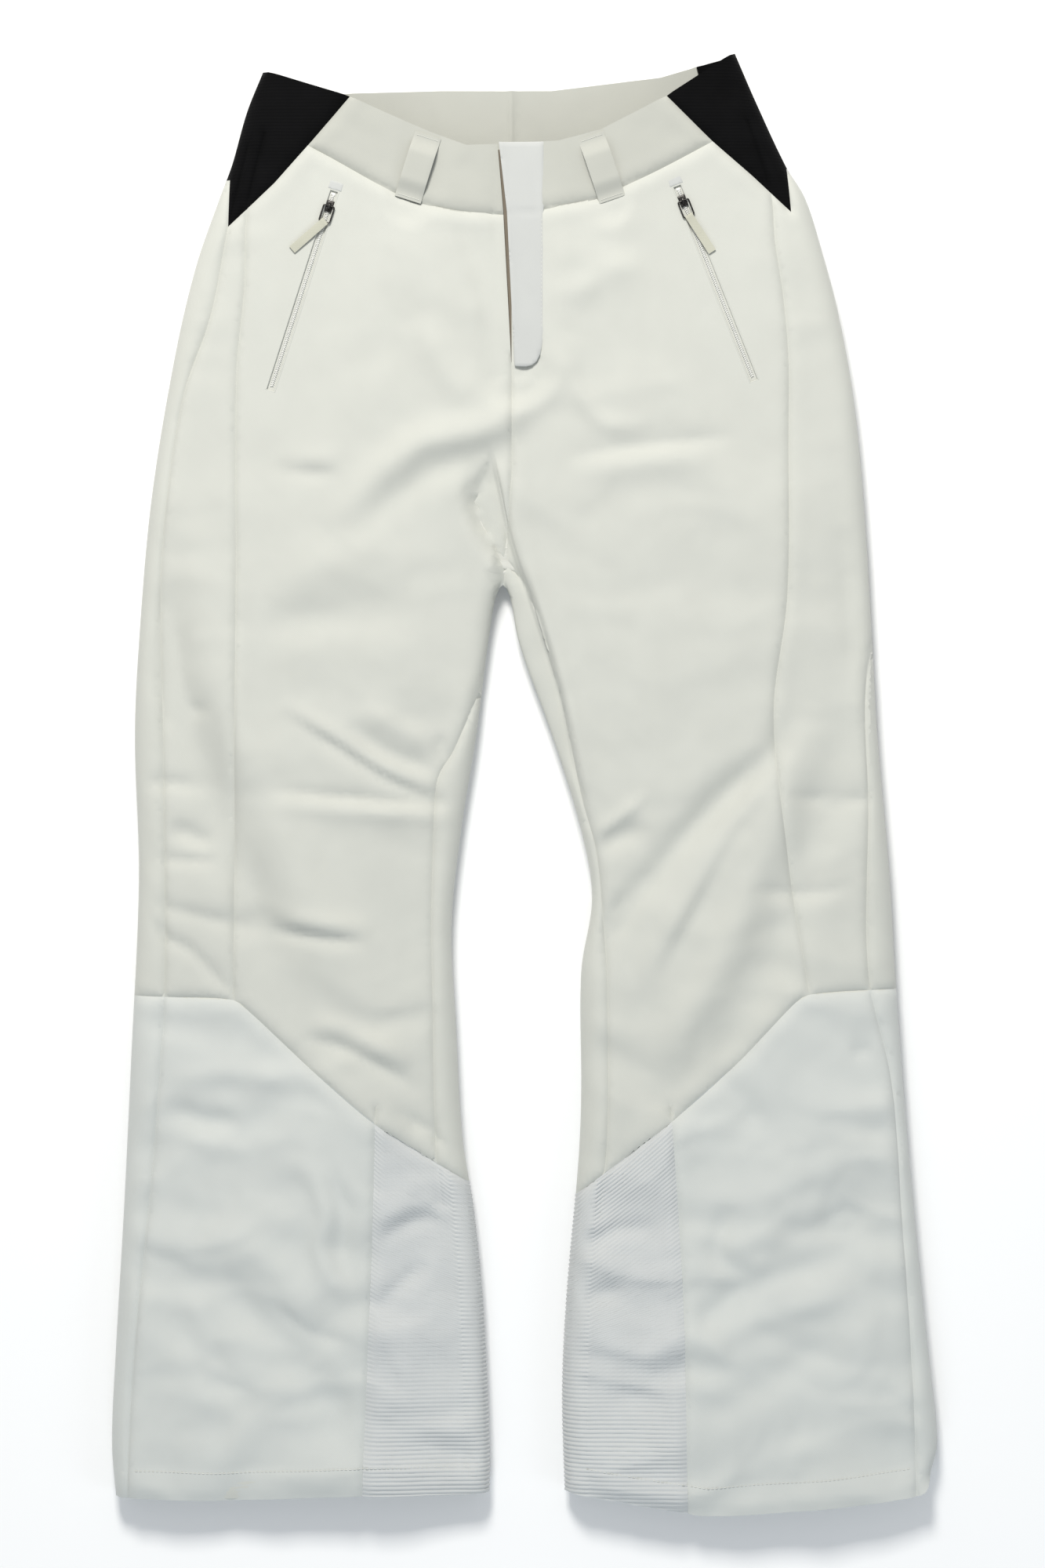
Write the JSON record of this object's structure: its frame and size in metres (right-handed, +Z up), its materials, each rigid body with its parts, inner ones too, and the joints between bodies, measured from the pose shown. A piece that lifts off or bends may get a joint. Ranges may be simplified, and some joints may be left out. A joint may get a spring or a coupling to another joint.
{
  "type": "ski pants",
  "caption": "Women's insulated ski pants laid flat, with zipped pockets, a snap and zip fly under a flap, stretch side gussets, ribbed ankle guards and inner boot gaiters.",
  "frame": {"origin": "centre of the bounding box in plan, at the height of the surface the pants lie on", "axes": "+Z up out of the pants' front, +Y towards the waist, +X towards the wearer's left leg"},
  "size_m": [0.612, 1.082, 0.0324],
  "materials": {
    "shell_cloth": "white insulated twill with a faint warm tint",
    "waist_cloth": "white twill, a little warmer",
    "fly_cloth": "white twill, bonded",
    "ribbed_guard": "white ribbed abrasion cloth",
    "black_stretch": "black stretch ribbing",
    "lining": "thin woven lining",
    "gaiter_cloth": "coated woven gaiter",
    "elastic": "gripper elastic",
    "zip_coil": "nylon coil",
    "zip_tape": "woven zip tape",
    "zip_metal": "dark plated metal",
    "snap_metal": "plated snap",
    "strap": "beige folded tape"
  },
  "bodies": {
    "shell": {"back_belt_loop_centre": "waist_cloth", "back_belt_loop_left": "waist_cloth", "back_belt_loop_right": "waist_cloth", "back_panel_left": "shell_cloth", "back_panel_right": "shell_cloth", "back_waistband": "waist_cloth", "boot_gaiter_left": "gaiter_cloth", "boot_gaiter_right": "gaiter_cloth", "fly_underlap": "fly_cloth", "fly_zip_coil": "zip_coil", "fly_zip_tape": "zip_tape", "front_belt_loop_left": "waist_cloth", "front_belt_loop_right": "waist_cloth", "front_panel_left": "shell_cloth", "front_panel_right": "shell_cloth", "front_waistband_left": "waist_cloth", "front_waistband_right": "waist_cloth", "gaiter_elastic_left": "elastic", "gaiter_elastic_right": "elastic", "hem_facing_left": "shell_cloth", "hem_facing_right": "shell_cloth", "leg_lining_left": "lining", "leg_lining_right": "lining", "lower_back_panel_left": "shell_cloth", "lower_back_panel_right": "shell_cloth", "lower_front_panel_left": "shell_cloth", "lower_front_panel_right": "shell_cloth", "pocket_bag_left": "lining", "pocket_bag_right": "lining", "pocket_zip_coil_left": "zip_coil", "pocket_zip_coil_right": "zip_coil", "pocket_zip_patch_left": "fly_cloth", "pocket_zip_patch_right": "fly_cloth", "pocket_zip_stop_left": "zip_coil", "pocket_zip_stop_right": "zip_coil", "pocket_zip_tape_left": "zip_tape", "pocket_zip_tape_right": "zip_tape", "scuff_guard_left": "ribbed_guard", "scuff_guard_right": "ribbed_guard", "side_panel_left": "shell_cloth", "side_panel_right": "shell_cloth", "snap_studs": "snap_metal", "stretch_gusset_left": "black_stretch", "stretch_gusset_right": "black_stretch"},
    "pocket_slider_body_right": {"pocket_slider_right": "zip_metal"},
    "pocket_slider_body_left": {"pocket_slider_left": "zip_metal"},
    "pocket_pull_body_right": {"pocket_pull_right": "zip_metal", "pull_strap_right": "strap"},
    "pocket_pull_body_left": {"pocket_pull_left": "zip_metal", "pull_strap_left": "strap"},
    "fly_slider_body": {"fly_slider": "zip_metal", "fly_pull": "zip_metal"},
    "fly_flap_body": {"fly_flap": "fly_cloth", "snap_sockets": "snap_metal"}
  },
  "joints": [
    {"name": "pocket_zip_slide_right", "type": "slide", "parent": "shell", "child": "pocket_slider_body_right", "axis": [-0.3057, -0.9521, 0], "range_m": [0, 0.128]},
    {"name": "pocket_pull_hinge_right", "type": "hinge", "parent": "pocket_slider_body_right", "child": "pocket_pull_body_right", "pos_m": [-0.14407, 0.42587, 0.0279], "axis": [-0.9521, 0.3057, 0], "range_deg": [0, 165]},
    {"name": "pocket_zip_slide_left", "type": "slide", "parent": "shell", "child": "pocket_slider_body_left", "axis": [0.3681, -0.9298, 0], "range_m": [0, 0.128]},
    {"name": "pocket_pull_hinge_left", "type": "hinge", "parent": "pocket_slider_body_left", "child": "pocket_pull_body_left", "pos_m": [0.11692, 0.42984, 0.0279], "axis": [-0.9298, -0.3681, 0], "range_deg": [0, 165]},
    {"name": "fly_zip_slide", "type": "slide", "parent": "shell", "child": "fly_slider_body", "axis": [0, -1, 0], "range_m": [0, 0.084]},
    {"name": "fly_flap_hinge", "type": "hinge", "parent": "shell", "child": "fly_flap_body", "pos_m": [0.013, 0.39, 0.0262], "axis": [0, 1, 0], "range_deg": [0, 115]}
  ]
}
